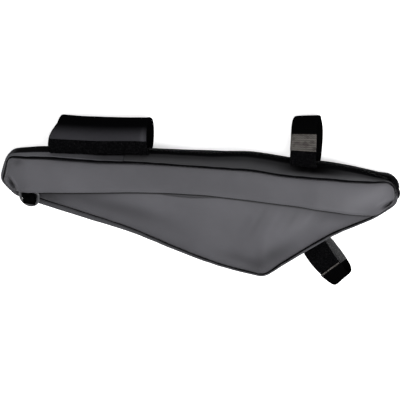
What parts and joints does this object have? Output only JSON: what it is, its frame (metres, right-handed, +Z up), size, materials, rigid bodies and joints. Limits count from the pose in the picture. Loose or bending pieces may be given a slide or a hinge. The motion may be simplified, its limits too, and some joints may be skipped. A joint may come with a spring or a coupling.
{
  "type": "bicycle frame bag",
  "caption": "Slim triangular fabric bag for a bicycle frame, with a zip along its top, a wide wrap, two narrow straps and a D ring. Lies flat on its back panel.",
  "frame": {"origin": "Middle of the bottom of the bag's box, on the surface it lies on.", "axes": "+X runs along the bag from its nose to its rear end, +Y across it from the low apex to the top tube side, +Z up from the back panel to the front panel. The bag lies on its back panel."},
  "size_m": [0.407, 0.168, 0.0612],
  "materials": {
    "coated_fabric": "dark grey coated fabric, slightly glossy",
    "gusset_fabric": "darker coated fabric, semi-matt",
    "webbing": "black ribbed nylon webbing",
    "loop_pile": "black fuzzy loop pile",
    "zip_nylon": "black nylon zip coil and tape",
    "moulded": "dark grey moulded plastic"
  },
  "bodies": {
    "root": {"front_panel": "coated_fabric", "back_panel": "gusset_fabric", "front_band": "coated_fabric", "lower_gusset": "gusset_fabric", "gusset_front_strip": "gusset_fabric", "gusset_back_strip": "gusset_fabric", "zip_tape": "zip_nylon", "zip_coil": "zip_nylon", "zip_slider": "moulded", "wrap_base": "loop_pile", "wrap_flap": "webbing", "rear_strap_base": "loop_pile", "rear_strap_flap": "webbing", "seat_strap_base": "loop_pile", "seat_strap_flap": "webbing", "strap_ring": "moulded", "ring_tab": "webbing"}
  },
  "joints": []
}
